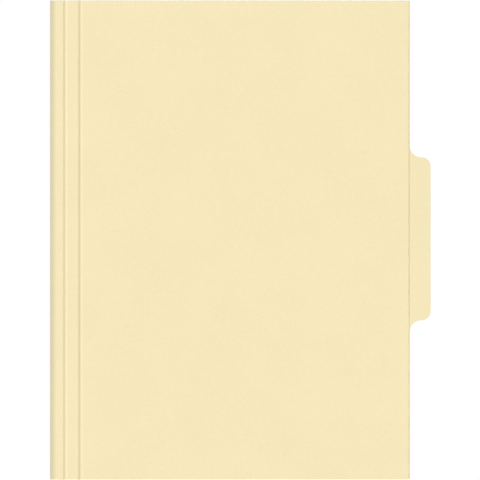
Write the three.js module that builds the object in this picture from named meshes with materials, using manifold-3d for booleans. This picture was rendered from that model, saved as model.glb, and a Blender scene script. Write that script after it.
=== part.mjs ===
// Letter-size manila file folder, lying closed on its back panel.
//
// The whole folder is one die-cut sheet of card: a back panel with an index tab, a main fold at the left
// and a front flap that carries two pressed score lines for a squared-off bottom. Each stretch of the sheet
// between two bends is a mesh of its own, and so is each bend.
//
// Millimetres, +Z up. X runs from the fold to the tab, Y along the fold. The origin is under the middle of
// the folder, on the plane that the back panel lies on.

import * as THREE from 'three';
import { mergeVertices } from 'three/addons/utils/BufferGeometryUtils.js';
import Module from 'manifold-3d';

// Driving dimensions

const cardThickness = 0.28;
const folderHeight = 298.45;
const coverDepth = 223.3;
const backMargin = 0.8;

const tabReach = 13.1;
const tabWidth = 101.6;
const tabOffset = 0.75;
const tabShoulderRadius = 6.4;
const tabCornerRadius = 5.6;

const firstScoreDepth = 9.43;
const secondScoreDepth = 18.83;
const scoreWidth = 3;
const scoreRelief = 0.3;

const foldGap = 1.4;
const edgeGap = 0.4;
const foldRamp = 3.6;
const foldRampPower = 3;
const creaseReach = 1;

const manilaColor = 0xf6e9bd;
const creasedColor = 0xf1e3b6;
const cardRoughness = 0.85;

// Steps along each curved stretch of the section, and on the tab's arcs

const rampSteps = 10;
const scoreSteps = 14;
const noseSteps = 8;
const arcSteps = 24;

// The fold: both flaps leave the crease line, level with the middle of the stack, and part as they go

const halfCard = cardThickness / 2;
const folderDepth = coverDepth + backMargin + tabReach;
const creaseX = -folderDepth / 2 + halfCard;
const creaseZ = cardThickness + foldGap / 2;
const rampRise = foldGap / 2 + halfCard;
const coverRun = coverDepth - halfCard;
const coverDroop = (foldGap - edgeGap) / (coverRun - foldRamp);

const firstScore = firstScoreDepth - halfCard;
const secondScore = secondScoreDepth - halfCard;
const halfScore = scoreWidth / 2;

// A flap's curl near the crease, as its height over the crease line at a run from it. The power sets how
// long the flap keeps its starting slope before it levels off.
function rampHeight(run) {
  const share = Math.min(run / foldRamp, 1);
  const power = foldRampPower;
  return rampRise * (share - share ** power / power) * (power / (power - 1));
}

function scoreHeight(run, centre) {
  const share = Math.abs(run - centre) / halfScore;
  return share < 1 ? scoreRelief * Math.cos((share * Math.PI) / 2) ** 2 : 0;
}

// Middle of the card's thickness, at a run from the crease line

function lowerMiddle(run) {
  return new THREE.Vector2(creaseX + run, creaseZ - rampHeight(run));
}

function upperMiddle(run) {
  const droop = Math.max(run - foldRamp, 0) * coverDroop;
  const scores = scoreHeight(run, firstScore) + scoreHeight(run, secondScore);
  return new THREE.Vector2(creaseX + run, creaseZ + rampHeight(run) - droop + scores);
}

// Runs from one value to another in equal steps, both ends included
function stepsBetween(from, to, count) {
  return Array.from({ length: count + 1 }, (_, i) => (i === count ? to : from + ((to - from) * i) / count));
}

// The card's two faces along a stretch: each point of the middle line, moved half a thickness along its
// normal. side is +1 for the face above the line and -1 for the one below.
function cardFace(middle, runs, side) {
  const probe = 1e-4;
  return runs.map((run) => {
    const along = middle(run + probe).sub(middle(run - probe)).normalize();
    const normal = new THREE.Vector2(-along.y, along.x);
    return middle(run).addScaledVector(normal, side * halfCard);
  });
}

function cardSection(middle, runs) {
  return [...cardFace(middle, runs, -1), ...cardFace(middle, runs, 1).reverse()];
}

// Sweeps a closed section in the X-Z plane along the whole fold
function sweepAlongFold(section) {
  const geometry = new THREE.ExtrudeGeometry(new THREE.Shape(section), {
    depth: folderHeight,
    bevelEnabled: false,
  });
  geometry.rotateX(Math.PI / 2);
  geometry.translate(0, folderHeight / 2, 0);
  return geometry;
}

function cardMesh(name, geometry, color = manilaColor) {
  const material = new THREE.MeshStandardMaterial({ color, roughness: cardRoughness, metalness: 0 });
  const mesh = new THREE.Mesh(geometry, material);
  mesh.name = name;
  return mesh;
}

// Closed solids for the one cut that the sheet needs

const wasm = await Module();
wasm.setup();

function toSolid(geometry) {
  const bare = geometry.clone();
  bare.deleteAttribute('normal');
  bare.deleteAttribute('uv');
  const welded = mergeVertices(bare, 1e-4);
  return new wasm.Manifold(new wasm.Mesh({
    numProp: 3,
    vertProperties: new Float32Array(welded.attributes.position.array),
    triVerts: new Uint32Array(welded.index.array),
  }));
}

function toGeometry(solid) {
  const mesh = solid.getMesh();
  const geometry = new THREE.BufferGeometry();
  geometry.setAttribute('position', new THREE.BufferAttribute(mesh.vertProperties, 3));
  geometry.setIndex(new THREE.BufferAttribute(mesh.triVerts, 1));
  geometry.computeVertexNormals();
  return geometry;
}

// The main fold: both flaps' first stretch, joined round the crease line by a nose of the card's thickness

function foldCrease() {
  const runs = [0, creaseReach];
  const lowerInner = cardFace(lowerMiddle, runs, 1);
  const lowerOuter = cardFace(lowerMiddle, runs, -1);
  const upperInner = cardFace(upperMiddle, runs, -1);
  const upperOuter = cardFace(upperMiddle, runs, 1);
  const start = Math.atan2(upperOuter[0].y - creaseZ, upperOuter[0].x - creaseX);
  const nose = stepsBetween(start, 2 * Math.PI - start, noseSteps).map(
    (angle) => new THREE.Vector2(creaseX + halfCard * Math.cos(angle), creaseZ + halfCard * Math.sin(angle)),
  );
  // Where the two inner faces meet, just inside the crease line
  const slope = (upperInner[1].y - upperInner[0].y) / (upperInner[1].x - upperInner[0].x);
  const notch = new THREE.Vector2(upperInner[0].x + (creaseZ - upperInner[0].y) / slope, creaseZ);
  const section = [notch, lowerInner[1], lowerOuter[1], ...nose.reverse(), upperOuter[1], upperInner[1]];
  return cardMesh('fold_crease', sweepAlongFold(section.reverse()), creasedColor);
}

// The die line round the back panel, from the lower end of its straight edge to the upper one.
// Concave shoulders run out of the panel's straight edge, and round corners lead into the tab's tip.
function tracePanelWithTab() {
  const straightX = creaseX + coverRun + backMargin;
  const tipX = straightX + tabReach;
  const tabTop = tabOffset + tabWidth / 2;
  const tabBottom = tabOffset - tabWidth / 2;
  const dieOverrun = 5;
  const top = folderHeight / 2 + dieOverrun;
  const left = creaseX - dieOverrun;
  const outline = new THREE.Path();
  outline.moveTo(left, -top);
  outline.lineTo(straightX, -top);
  outline.lineTo(straightX, tabBottom - tabShoulderRadius);
  outline.absarc(straightX + tabShoulderRadius, tabBottom - tabShoulderRadius, tabShoulderRadius,
    Math.PI, Math.PI / 2, true);
  outline.absarc(tipX - tabCornerRadius, tabBottom + tabCornerRadius, tabCornerRadius, -Math.PI / 2, 0, false);
  outline.absarc(tipX - tabCornerRadius, tabTop - tabCornerRadius, tabCornerRadius, 0, Math.PI / 2, false);
  outline.absarc(straightX + tabShoulderRadius, tabTop + tabShoulderRadius, tabShoulderRadius,
    -Math.PI / 2, -Math.PI, true);
  outline.lineTo(straightX, top);
  outline.lineTo(left, top);
  return outline.getPoints(arcSteps);
}

// The back panel: the sheet's section swept along the fold, then cut to the die's outline

function backPanel() {
  const lip = stepsBetween(creaseReach, foldRamp, rampSteps);
  const sheet = sweepAlongFold(cardSection(lowerMiddle, [...lip, folderDepth - halfCard]));
  const dieDepth = 4 * creaseZ;
  const die = new THREE.ExtrudeGeometry(new THREE.Shape(tracePanelWithTab()), {
    depth: dieDepth,
    bevelEnabled: false,
  });
  die.translate(0, 0, -dieDepth / 2);
  return cardMesh('back_panel', toGeometry(toSolid(sheet).intersect(toSolid(die))));
}

// The front flap, from the crease to its free edge

function scoreRuns(centre) {
  return stepsBetween(centre - halfScore, centre + halfScore, scoreSteps);
}

function innerSpineStrip() {
  const runs = [...stepsBetween(creaseReach, foldRamp, rampSteps), firstScore - halfScore];
  return cardMesh('inner_spine_strip', sweepAlongFold(cardSection(upperMiddle, runs)));
}

function scoreLine(name, centre) {
  return cardMesh(name, sweepAlongFold(cardSection(upperMiddle, scoreRuns(centre))), creasedColor);
}

function outerSpineStrip() {
  const runs = [firstScore + halfScore, secondScore - halfScore];
  return cardMesh('outer_spine_strip', sweepAlongFold(cardSection(upperMiddle, runs)));
}

function frontPanel() {
  const runs = [secondScore + halfScore, coverRun];
  return cardMesh('front_panel', sweepAlongFold(cardSection(upperMiddle, runs)));
}

const folder = new THREE.Group();
folder.name = 'file_folder';
folder.add(
  backPanel(),
  foldCrease(),
  innerSpineStrip(),
  scoreLine('first_score', firstScore),
  outerSpineStrip(),
  scoreLine('second_score', secondScore),
  frontPanel(),
);

export default folder;
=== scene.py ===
import math
from collections import Counter

import bpy
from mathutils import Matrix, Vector
from mathutils.geometry import delaunay_2d_cdt


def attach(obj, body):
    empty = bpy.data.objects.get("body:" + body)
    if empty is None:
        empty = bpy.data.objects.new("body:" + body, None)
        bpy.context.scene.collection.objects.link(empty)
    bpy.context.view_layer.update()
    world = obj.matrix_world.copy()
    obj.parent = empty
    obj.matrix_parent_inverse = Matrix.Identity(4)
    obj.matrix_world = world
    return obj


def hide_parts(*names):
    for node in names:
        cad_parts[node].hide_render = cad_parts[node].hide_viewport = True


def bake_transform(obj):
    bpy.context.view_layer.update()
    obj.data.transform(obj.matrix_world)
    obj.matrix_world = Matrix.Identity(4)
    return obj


# A letter-size manila file folder, closed: one die-cut sheet of card in seven pieces. Each stands in the place
# of one of the solids, and meets its neighbours on the same faces.

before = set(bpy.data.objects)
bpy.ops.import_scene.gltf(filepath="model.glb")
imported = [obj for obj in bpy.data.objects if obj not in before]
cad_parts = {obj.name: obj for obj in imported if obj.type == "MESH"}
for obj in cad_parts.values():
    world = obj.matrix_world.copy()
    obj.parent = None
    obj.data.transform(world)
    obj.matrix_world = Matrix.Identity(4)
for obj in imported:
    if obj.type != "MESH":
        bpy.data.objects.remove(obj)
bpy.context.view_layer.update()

# Sizes of the folder, in millimetres, as its solids have them apart from the tab's shoulders
MM = 0.001
CARD = 0.28
HALF = CARD / 2
HEIGHT = 298.45
COVER_DEPTH = 223.3
BACK_MARGIN = 0.8
TAB_REACH = 13.1
TAB_WIDTH = 101.6
TAB_OFFSET = 0.75
SHOULDER_RADIUS = 7.4    # 6.4 in the solids, which were settled first
CORNER_RADIUS = 5.6
FIRST_SCORE = 9.43 - HALF
SECOND_SCORE = 18.83 - HALF
HALF_SCORE = 1.5
SCORE_RELIEF = 0.3
FOLD_GAP = 1.4
EDGE_GAP = 0.4
RAMP = 3.6
RAMP_POWER = 3
CREASE_REACH = 1.0

DEPTH = COVER_DEPTH + BACK_MARGIN + TAB_REACH
CREASE_X = -DEPTH / 2 + HALF
CREASE_Z = CARD + FOLD_GAP / 2
RAMP_RISE = FOLD_GAP / 2 + HALF
COVER_RUN = COVER_DEPTH - HALF
DROOP = (FOLD_GAP - EDGE_GAP) / (COVER_RUN - RAMP)

CUT_SOFTNESS = 0.02      # how far the die rounds a cut edge off
EDGE_BAND = 0.3          # width of the row of faces beside each cut edge, which keeps the rest flat
NOTCH_CARD = 0.3         # the card's inner half thickness in the fold, as a share of the flat card's
FIRST_SCORE_WEAR_AND_SHADE = 0.36  # how far each rib's crest is darkened, from 0 to 1: partly worked card, partly painted shade
SECOND_SCORE_WEAR_AND_SHADE = 0.6
CUT_SLOT = 1             # the material slot of each piece's cut edge

# Steps along each stretch of the section, and on the tab's arcs
NOSE_STEPS = 16
CREASE_STEPS = 8
CURL_STEPS = 14
SCORE_STEPS = 24
STRIP_STEPS = 5
COVER_STEPS = 50
ARC_STEPS = 16
ROW_STEPS = 72           # along the fold

# Points spread over the back panel's faces
BACK_CURL_STEPS = 8
BACK_STEPS = 40
BACK_CURL_ROWS = 60
BACK_ROWS = 52
SPREAD_MARGIN = 2        # how far they stay from the panel's ends
OUTLINE_STEP = 4         # longest side of its outline
MERGE_DISTANCE = 1e-5    # points closer than this become one


def steps(start, end, count):
    return [start + (end - start) * i / count for i in range(count + 1)]


# Places along the fold where the front flap and the fold have a row of points
ROWS = steps(-HEIGHT / 2, HEIGHT / 2, ROW_STEPS)


# The sheet's section: heights of the card's middle, at a run from the crease line

def ramp_height(run):
    """A flap's curl near the crease, over the crease line."""
    share = min(run / RAMP, 1)
    return RAMP_RISE * (share - share ** RAMP_POWER / RAMP_POWER) * RAMP_POWER / (RAMP_POWER - 1)


def score_height(run, centre):
    share = abs(run - centre) / HALF_SCORE
    return SCORE_RELIEF * math.cos(share * math.pi / 2) ** 2 if share < 1 else 0


def lower_height(run):
    return CREASE_Z - ramp_height(run)


def upper_height(run):
    droop = max(run - RAMP, 0) * DROOP
    scores = score_height(run, FIRST_SCORE) + score_height(run, SECOND_SCORE)
    return CREASE_Z + ramp_height(run) - droop + scores


def card_point(height, run, y, offset):
    """The point at a run from the crease line, offset from the card's middle along its normal."""
    probe = 1e-4
    slope = (height(run + probe) - height(run - probe)) / (2 * probe)
    size = math.hypot(1, slope)
    return Vector((CREASE_X + run - offset * slope / size, y, height(run) + offset / size))


# Mesh making

def make_piece(name, points, faces, joins, cut, wear_and_shade=None):
    """A closed mesh, in metres, smooth but for the rims of two groups of faces.

    joins are the faces that meet the next piece, and cut those that show the die's raw cut. The last argument
    gives how far each point is darkened towards the crease colour, from 0 to 1, partly for worked card and
    partly as painted shade.
    """
    mesh = bpy.data.meshes.new(name)
    mesh.from_pydata([Vector(p) * MM for p in points], [], faces)
    mesh.update()
    mesh.shade_smooth()
    for group in (joins, cut):
        uses = Counter(frozenset(key) for f in group for key in mesh.polygons[f].edge_keys)
        for edge in mesh.edges:
            if uses[frozenset(edge.vertices)] == 1:
                edge.use_edge_sharp = True
    for f in cut:
        mesh.polygons[f].material_index = CUT_SLOT
    attribute = mesh.attributes.new("wear_and_shade", "FLOAT", "POINT")
    attribute.data.foreach_set("value", wear_and_shade or [0.0] * len(points))
    piece = bpy.data.objects.new(name, mesh)
    bpy.context.collection.objects.link(piece)
    return piece


def strip_piece(name, runs, cut_end=False, wear_and_shade_at=None):
    """A rectangle of the front flap, with a loop of points round the card at each run from the crease line.

    cut_end says that the last run is the flap's free edge.
    """
    soft = CUT_SOFTNESS
    stations = [(run, 0) for run in runs]
    if cut_end:
        stations[-1:] = [(runs[-1] - EDGE_BAND, 0), (runs[-1] - soft, 0), (runs[-1], soft)]
    limit = HEIGHT / 2
    band = limit - EDGE_BAND
    inner = [-band, *ROWS[1:-1], band]
    points, loops, wear_and_shade = [], [], []
    for run, inset in stations:
        edge, level = limit - inset, HALF - inset
        side = level if inset else level - soft
        over = [(-edge + soft, level), *[(y, level) for y in inner], (edge - soft, level)]
        under = [(y, -offset) for y, offset in reversed(over)]
        loop = [*over, (edge, side), (edge, -side), *under, (-edge, -side), (-edge, side)]
        loops.append([len(points) + i for i in range(len(loop))])
        points += [card_point(upper_height, run, y, offset) for y, offset in loop]
        wear_and_shade += [wear_and_shade_at(run) if wear_and_shade_at else 0.0] * len(loop)

    # Round each loop, the three faces down the cut edge at either end of the fold line
    row = len(inner) + 2
    count = len(loops[0])
    cut_sides = {row - 1, row, row + 1, count - 3, count - 2, count - 1}
    faces, joins, cut = [], [], []
    for near, far in zip(loops, loops[1:]):
        for i in range(count):
            if i in cut_sides or (cut_end and far is loops[-1]):
                cut.append(len(faces))
            j = (i + 1) % count
            faces.append((near[i], far[i], far[j], near[j]))
    for loop, group, order in ((loops[0], joins, 1), (loops[-1], cut if cut_end else joins, -1)):
        over = [loop[-1], *loop[:row], loop[row]]
        under = [loop[-2], *reversed(loop[row + 2:2 * row + 2]), loop[row + 1]]
        for i in range(row + 1):
            group.append(len(faces))
            faces.append((over[i], over[i + 1], under[i + 1], under[i])[::order])
    return make_piece(name, points, faces, joins, cut, wear_and_shade)


# The main fold

def inner_half(run):
    """The card's inner half thickness, which is pressed thin in the fold."""
    share = min(run / CREASE_REACH, 1)
    return HALF * (NOTCH_CARD + (1 - NOTCH_CARD) * share * share * (3 - 2 * share))


def notch_run():
    """Where the two flaps' inner faces meet, found by halving the stretch that it lies in."""
    halvings = 40
    low, high = 0, CREASE_REACH
    for _ in range(halvings):
        middle = (low + high) / 2
        if card_point(lower_height, middle, 0, inner_half(middle)).z < CREASE_Z:
            high = middle
        else:
            low = middle
    return high


def fold_section():
    """Points round the fold's section: under it, round its nose, over it, and in to its notch and out."""
    outer_runs = steps(0, CREASE_REACH, CREASE_STEPS)
    inner_runs = steps(notch_run(), CREASE_REACH, CREASE_STEPS)
    under = [card_point(lower_height, run, 0, -HALF) for run in reversed(outer_runs)]
    over = [card_point(upper_height, run, 0, HALF) for run in outer_runs]
    start = math.atan2(under[-1].z - CREASE_Z, under[-1].x - CREASE_X) + 2 * math.pi
    nose = [Vector((CREASE_X + HALF * math.cos(angle), 0, CREASE_Z + HALF * math.sin(angle)))
            for angle in steps(start, 2 * math.pi - start, NOSE_STEPS)[1:-1]]
    inside_upper = [card_point(upper_height, run, 0, -inner_half(run)) for run in inner_runs[1:]]
    inside_lower = [card_point(lower_height, run, 0, inner_half(run)) for run in inner_runs[1:]]
    notch = Vector((card_point(lower_height, inner_runs[0], 0, inner_half(inner_runs[0])).x, 0, CREASE_Z))
    return [*under, *nose, *over, *reversed(inside_upper), notch, *inside_lower]


def fold_piece():
    """Both flaps' first stretch, joined round the crease line by a nose and pressed thinner inside it."""
    section = fold_section()
    count = len(section)
    nose_start = CREASE_STEPS
    nose_end = nose_start + NOSE_STEPS
    upper_end = nose_end + CREASE_STEPS
    lower_end = count - 1
    notch = upper_end + CREASE_STEPS + 1
    points, faces, wear_and_shade = [], [], []
    for y in ROWS:
        points += [Vector((p.x, y, p.z)) for p in section]
        # Darker towards the nose of the fold: partly worked card, partly painted shade on its rounded edge
        wear_and_shade += [(1 - min(max(p.x - CREASE_X, 0) / CREASE_REACH, 1)) ** 2 for p in section]
    for row in range(len(ROWS) - 1):
        for i in range(count):
            j = (i + 1) % count
            near, far = row * count, (row + 1) * count
            faces.append((near + i, near + j, far + j, far + i))
    joins = [f for f in range(len(faces)) if f % count in (upper_end, lower_end)]

    # Each end: a fan round the nose, and a row of faces across each flap
    end = [(i, i + 1, notch) for i in range(nose_start, nose_end)]
    for i in range(CREASE_STEPS):
        end.append((nose_start - i - 1, nose_start - i, notch + i, notch + i + 1))
        end.append((nose_end + i, nose_end + i + 1, notch - i - 1, notch - i))
    cut = [len(faces) + i for i in range(2 * len(end))]
    faces += [face[::-1] for face in end]
    faces += [tuple(i + len(points) - count for i in face) for face in end]
    return make_piece("fold_of_card", points, faces, joins, cut, wear_and_shade)


# The back panel

def tab_outline():
    """The back panel's outline, counter-clockwise seen from above, as runs and places along the fold."""
    straight = COVER_RUN + BACK_MARGIN
    tip = straight + TAB_REACH
    top, bottom = TAB_OFFSET + TAB_WIDTH / 2, TAB_OFFSET - TAB_WIDTH / 2
    limit = HEIGHT / 2
    shoulder, corner = SHOULDER_RADIUS, CORNER_RADIUS

    def turn(x, y, radius, start, end):
        angles = steps(math.radians(start), math.radians(end), ARC_STEPS)
        return [(x + radius * math.cos(a), y + radius * math.sin(a)) for a in angles]

    return [
        (CREASE_REACH, -limit),
        (straight, -limit),
        *turn(straight + shoulder, bottom - shoulder, shoulder, 180, 90),
        *turn(tip - corner, bottom + corner, corner, -90, 0),
        *turn(tip - corner, top - corner, corner, 0, 90),
        *turn(straight + shoulder, top + shoulder, shoulder, -90, -180),
        (straight, limit),
        (CREASE_REACH, limit),
    ]


def subdivided(outline, longest):
    """The outline with its long sides cut into equal steps, but for the one at the fold."""
    points = []
    for here, after in zip(outline, outline[1:]):
        count = max(1, round(math.dist(here, after) / longest))
        points += list(zip(steps(here[0], after[0], count), steps(here[1], after[1], count)))[:-1]
    return [*points, outline[-1]]


def with_curl(outline, curl):
    """The outline with a point at each run of the curl, at both ends of the fold."""
    first, last = outline[0], outline[-1]
    near = [(run, first[1]) for run in curl]
    beyond = [p for p in outline[1:-1] if p[0] > RAMP]
    far = [(run, last[1]) for run in reversed(curl)]
    return [first, *near, *beyond, *far, last]


def inset_outline(outline, inset):
    """The outline moved inwards, but for its side at the fold, which only gets shorter."""
    moved = []
    count = len(outline)
    for i, (x, y) in enumerate(outline):
        before, here, after = Vector(outline[i - 1]), Vector((x, y)), Vector(outline[(i + 1) % count])
        a, b = (here - before).normalized(), (after - here).normalized()
        inwards = Vector((-a.y, a.x))
        mitre = (inwards + Vector((-b.y, b.x))).normalized()
        point = here + mitre * (inset / mitre.dot(inwards))
        moved.append((CREASE_REACH if x == CREASE_REACH else point.x, point.y))
    return moved


def back_piece():
    """Six rings of points down the cut edge, and both faces filled with triangles between them."""
    curl = steps(CREASE_REACH, RAMP, BACK_CURL_STEPS)[1:]
    outline = with_curl(subdivided(tab_outline(), OUTLINE_STEP), curl)
    soft = CUT_SOFTNESS
    inset, band = inset_outline(outline, soft), inset_outline(outline, EDGE_BAND)
    rings = [(band, HALF), (inset, HALF), (outline, HALF - soft),
             (outline, soft - HALF), (inset, -HALF), (band, -HALF)]
    points = [card_point(lower_height, x, y, offset) for ring, offset in rings for x, y in ring]
    count = len(outline)
    sides = count - 1
    first = [ring * count for ring in range(len(rings))]
    last = [i + sides for i in first]
    faces = [(upper + i, lower + i, lower + i + 1, upper + i + 1)
             for upper, lower in zip(first, first[1:]) for i in range(sides)]
    cut = list(range(sides, 4 * sides))

    # The side at the fold: one face between the bands, and two beyond each of them
    fold_side = [
        (last[1], last[2], last[3], last[4]),
        (last[0], last[1], last[4], last[5]),
        (last[0], last[5], first[5], first[0]),
        (first[5], first[4], first[1], first[0]),
        (first[4], first[3], first[2], first[1]),
    ]
    joins = [len(faces) + i for i in range(len(fold_side))]
    faces += fold_side

    limit = HEIGHT / 2 - SPREAD_MARGIN
    spread = [(run, y) for run in curl for y in steps(-limit, limit, BACK_CURL_ROWS)]
    flat_runs = steps(RAMP, COVER_RUN, BACK_STEPS)[1:-1]
    spread += [(run, y) for run in flat_runs for y in steps(-limit, limit, BACK_ROWS)]
    inside_outline = 1
    flat, _, triangles, origins, *_ = delaunay_2d_cdt(
        [Vector(p) for p in band + spread], [], [list(range(count))], inside_outline, MERGE_DISTANCE)
    for offset, ring_start, order in ((HALF, first[0], 1), (-HALF, first[5], -1)):
        index = []
        for spot, origin in zip(flat, origins):
            on_ring = [i for i in origin if i < count]
            index.append(ring_start + on_ring[0] if on_ring else len(points))
            if not on_ring:
                points.append(card_point(lower_height, spot.x, spot.y, offset))
        faces += [tuple(index[i] for i in triangle)[::order] for triangle in triangles]
    return make_piece("back_card", points, faces, joins, cut)


# The front flap

def inner_strip_piece():
    curl = steps(CREASE_REACH, RAMP, CURL_STEPS)
    level = steps(RAMP, FIRST_SCORE - HALF_SCORE, STRIP_STEPS)
    return strip_piece("inner_strip_card", curl + level[1:])


def score_piece(name, centre, wear_and_shade):
    """A pressed rib, darkened most on its crest: partly worked card, partly painted shade."""
    def wear_and_shade_at(run):
        return wear_and_shade * max(0.0, math.cos((run - centre) / HALF_SCORE * math.pi / 2))

    runs = steps(centre - HALF_SCORE, centre + HALF_SCORE, SCORE_STEPS)
    return strip_piece(name, runs, wear_and_shade_at=wear_and_shade_at)


def outer_strip_piece():
    runs = steps(FIRST_SCORE + HALF_SCORE, SECOND_SCORE - HALF_SCORE, STRIP_STEPS)
    return strip_piece("outer_strip_card", runs)


def cover_piece():
    runs = steps(SECOND_SCORE + HALF_SCORE, COVER_RUN, COVER_STEPS)
    return strip_piece("cover_card", runs, cut_end=True)


# Shader nodes

def add(tree, kind, inputs=None, **settings):
    """A node with its settings, and with values on its inputs by name."""
    node = tree.nodes.new(kind)
    for key, value in settings.items():
        setattr(node, key, value)
    for key, value in (inputs or {}).items():
        node.inputs[key].default_value = value
    return node


def noise(tree, coords, scale, detail, roughness, stretch=1, turn=0):
    """Noise whose grains are stretched that many times, in a direction turned in degrees from +Y."""
    mapping = add(tree, "ShaderNodeMapping", vector_type="TEXTURE",
                  inputs={"Rotation": (0, 0, math.radians(turn)), "Scale": (1, stretch, 1)})
    texture = add(tree, "ShaderNodeTexNoise",
                  inputs={"Scale": scale, "Detail": detail, "Roughness": roughness})
    tree.links.new(coords, mapping.inputs["Vector"])
    tree.links.new(mapping.outputs["Vector"], texture.inputs["Vector"])
    return texture.outputs["Fac"]


def remap(tree, value, start, end):
    """The value, moved from one pair of limits to another."""
    node = add(tree, "ShaderNodeMapRange", inputs={
        "From Min": start[0], "From Max": start[1], "To Min": end[0], "To Max": end[1]})
    tree.links.new(value, node.inputs["Value"])
    return node.outputs["Result"]


def combine(tree, operation, a, b):
    node = add(tree, "ShaderNodeMath", operation=operation)
    tree.links.new(a, node.inputs[0])
    tree.links.new(b, node.inputs[1])
    return node.outputs[0]


def white_for_camera(tree):
    """1 for the rays that the camera sees directly, in gloss or through glass, and 0 for the others."""
    path = add(tree, "ShaderNodeLightPath").outputs
    seen = combine(tree, "MAXIMUM", path["Is Camera Ray"], path["Is Glossy Ray"])
    return combine(tree, "MAXIMUM", seen, path["Is Transmission Ray"])


# Materials of the card

MANILA = (0.934, 0.811, 0.506)
INNER = (0.923, 0.803, 0.501)
# The crease colour: partly worked card and partly painted shade in the fold and on the ribs
CREASED_AND_SHADED = (0.786, 0.694, 0.432)
CUT = (0.70, 0.60, 0.38)
CARD_ROUGHNESS = 0.85
CARD_GLOSS = 0.25

# The card's tone is a product of noises. Each has its grain, as grains per metre, detail and roughness, then
# the limits that its values lie between, and the tones that those give.
CLOUDS = (25, 2, 0.5), (0.35, 0.65), (0.992, 1.008)
PULP_CLUMPS = (420, 3, 0.6), (0.3, 0.7), (0.989, 1.011)
FIBRES = (3200, 2, 0.6), (0.59, 0.73), (1.0, 0.94)
FIBRE_LENGTH = 5         # in widths of a fibre
FIBRE_TURNS = (15, 75, 130)

# The tooth of its surface: a grain, and a height in metres
TOOTH = (3000, 3, 0.6)
TOOTH_HEIGHT = 0.00003
TOOTH_STRENGTH = 0.35

# Sockets of the Mix node where it mixes colours
MIX_A, MIX_B, MIX_RESULT = 6, 7, 2


def tone_layer(tree, coords, grain, limits, tones, stretch=1, turn=0):
    return remap(tree, noise(tree, coords, *grain, stretch, turn), limits, tones)


def card_material(name, color, worn_and_shaded):
    """Card of one colour where it is as made, darkened towards another by the point attribute: partly worn
    card and partly painted shade.
    """
    material = bpy.data.materials.new(name)
    material.use_nodes = True
    tree = material.node_tree
    shader = tree.nodes["Principled BSDF"]
    shader.inputs["Roughness"].default_value = CARD_ROUGHNESS
    shader.inputs["Specular IOR Level"].default_value = CARD_GLOSS
    coords = add(tree, "ShaderNodeTexCoord").outputs["Object"]

    tone = combine(tree, "MULTIPLY", tone_layer(tree, coords, *CLOUDS), tone_layer(tree, coords, *PULP_CLUMPS))
    for turn in FIBRE_TURNS:
        fibres = tone_layer(tree, coords, *FIBRES, FIBRE_LENGTH, turn)
        tone = combine(tree, "MULTIPLY", tone, fibres)

    wear_and_shade = add(tree, "ShaderNodeAttribute", attribute_name="wear_and_shade")
    base = add(tree, "ShaderNodeMix", data_type="RGBA")
    base.inputs[MIX_A].default_value = (*color, 1)
    base.inputs[MIX_B].default_value = (*worn_and_shaded, 1)
    tree.links.new(wear_and_shade.outputs["Fac"], base.inputs["Factor"])
    tinted = add(tree, "ShaderNodeVectorMath", operation="SCALE")
    tree.links.new(base.outputs[MIX_RESULT], tinted.inputs[0])
    tree.links.new(tone, tinted.inputs["Scale"])
    tree.links.new(tinted.outputs[0], shader.inputs["Base Color"])

    tooth = add(tree, "ShaderNodeBump", inputs={"Strength": TOOTH_STRENGTH, "Distance": TOOTH_HEIGHT})
    tree.links.new(noise(tree, coords, *TOOTH), tooth.inputs["Height"])
    tree.links.new(tooth.outputs["Normal"], shader.inputs["Normal"])
    return material


# The pieces in their places: each rides on one body, or stays where it is where it crosses a crease between
# two

def place(piece, material, node, body=None, bend=None):
    piece.data.materials.append(material)
    piece.data.materials.append(cut_edge)      # in CUT_SLOT
    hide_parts(node)
    if body:
        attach(piece, body)
    else:
        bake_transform(piece)


def across_fold():
    """Points under and over the crease line, a tenth of a millimetre from it."""
    reach = 0.1
    return [Vector((CREASE_X, 0, CREASE_Z + side * reach)) * MM for side in (-1, 1)]


def across_score(centre):
    z = upper_height(centre)
    return [Vector((CREASE_X + centre + side * HALF_SCORE, 0, z)) * MM for side in (-1, 1)]


manila = card_material("manila_card", MANILA, CREASED_AND_SHADED)
manila_inside = card_material("manila_card_inside", INNER, CREASED_AND_SHADED)
creased = card_material("creased_card", MANILA, CREASED_AND_SHADED)
cut_edge = card_material("cut_card_edge", CUT, CUT)

place(back_piece(), manila_inside, "back_panel", body="back")
place(fold_piece(), creased, "fold_crease",
      bend=("back", "inner_strip", *across_fold()))
place(inner_strip_piece(), manila, "inner_spine_strip", body="inner_strip")
place(score_piece("first_score_rib", FIRST_SCORE, FIRST_SCORE_WEAR_AND_SHADE), creased,
      "first_score", bend=("inner_strip", "outer_strip", *across_score(FIRST_SCORE)))
place(outer_strip_piece(), manila, "outer_spine_strip", body="outer_strip")
place(score_piece("second_score_rib", SECOND_SCORE, SECOND_SCORE_WEAR_AND_SHADE), creased,
      "second_score", bend=("outer_strip", "cover", *across_score(SECOND_SCORE)))
place(cover_piece(), manila, "front_panel", body="cover")


# Floor, light and camera

FLOOR_SIZE = 6           # metres from the middle to each side
FLOOR_DEPTH = 0.00002    # metres under the folder
FLOOR_BOUNCE = 0.3       # how much light the floor gives back to the folder
FLOOR_GLOW = 0.96        # the floor's own white, for the camera
FLOOR_SHADE = 0.05       # how much of the floor's white takes the folder's shadow

# The light on a level face adds up to about 1: some from all round, and some from each soft lamp, given as
# the direction that it lights from, round from +X, its height, its share, and its angular size
AMBIENT = 0.421
LAMPS = ((0, 26, 0.375, 20), (180, 36, 0.2, 10))

# The camera looks straight down, in millimetres
VIEW_WIDTH = 299.1       # how much it sees across
VIEW_LEVEL = 1.3         # the height at which it sees that much
VIEW_CENTRE = -0.3
LENS = 200
SENSOR = 36
CLIP_START, CLIP_END = 10, 50000


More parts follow.
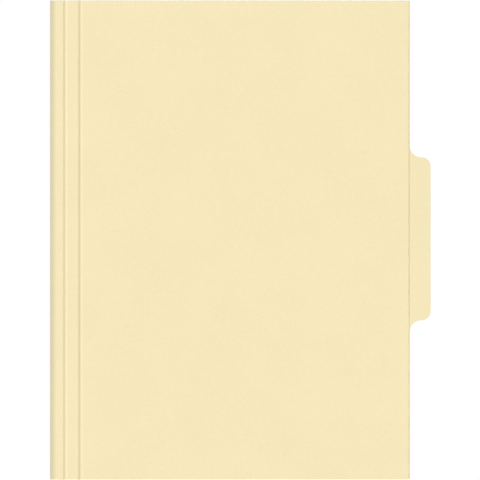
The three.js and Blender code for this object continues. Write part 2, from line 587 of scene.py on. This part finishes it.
def make_floor():
    mesh = bpy.data.meshes.new("floor")
    signs = ((-1, -1), (1, -1), (1, 1), (-1, 1))
    corners = [(x * FLOOR_SIZE, y * FLOOR_SIZE, -FLOOR_DEPTH) for x, y in signs]
    mesh.from_pydata(corners, [], [(0, 1, 2, 3)])
    floor = bpy.data.objects.new("floor", mesh)
    bpy.context.collection.objects.link(floor)
    material = bpy.data.materials.new("floor_white")
    material.use_nodes = True
    tree = material.node_tree
    shader = tree.nodes["Principled BSDF"]
    shader.inputs["Roughness"].default_value = 1
    shader.inputs["Specular IOR Level"].default_value = 0
    shader.inputs["Emission Color"].default_value = (1, 1, 1, 1)
    seen = white_for_camera(tree)
    shade = add(tree, "ShaderNodeCombineColor")
    for channel in ("Red", "Green", "Blue"):
        tree.links.new(remap(tree, seen, (0, 1), (FLOOR_BOUNCE, FLOOR_SHADE)), shade.inputs[channel])
    tree.links.new(shade.outputs[0], shader.inputs["Base Color"])
    tree.links.new(remap(tree, seen, (0, 1), (0, FLOOR_GLOW)), shader.inputs["Emission Strength"])
    mesh.materials.append(material)


def make_world():
    world = bpy.data.worlds.new("studio")
    bpy.context.scene.world = world
    world.use_nodes = True
    tree = world.node_tree
    background = tree.nodes["Background"]
    background.inputs["Color"].default_value = (1, 1, 1, 1)
    strength = remap(tree, white_for_camera(tree), (0, 1), (AMBIENT, 1))
    tree.links.new(strength, background.inputs["Strength"])


def make_lamp(azimuth, height, share, size):
    around, up = math.radians(azimuth), math.radians(height)
    sun = bpy.data.lights.new("lamp", "SUN")
    sun.energy = share * math.pi / math.sin(up)
    sun.angle = math.radians(size)
    lamp = bpy.data.objects.new("lamp", sun)
    towards = Vector((math.cos(around) * math.cos(up), math.sin(around) * math.cos(up), math.sin(up)))
    lamp.rotation_euler = towards.to_track_quat("Z", "Y").to_euler()
    bpy.context.collection.objects.link(lamp)


def make_camera():
    camera = bpy.data.cameras.new("camera")
    camera.lens, camera.sensor_width = LENS, SENSOR
    camera.clip_start, camera.clip_end = CLIP_START * MM, CLIP_END * MM
    holder = bpy.data.objects.new("camera", camera)
    holder.location = Vector((VIEW_CENTRE, 0, VIEW_LEVEL + VIEW_WIDTH * LENS / SENSOR)) * MM
    bpy.context.collection.objects.link(holder)
    bpy.context.scene.camera = holder


make_floor()
make_world()
for lamp in LAMPS:
    make_lamp(*lamp)
make_camera()
bpy.context.scene.view_settings.view_transform = "Standard"
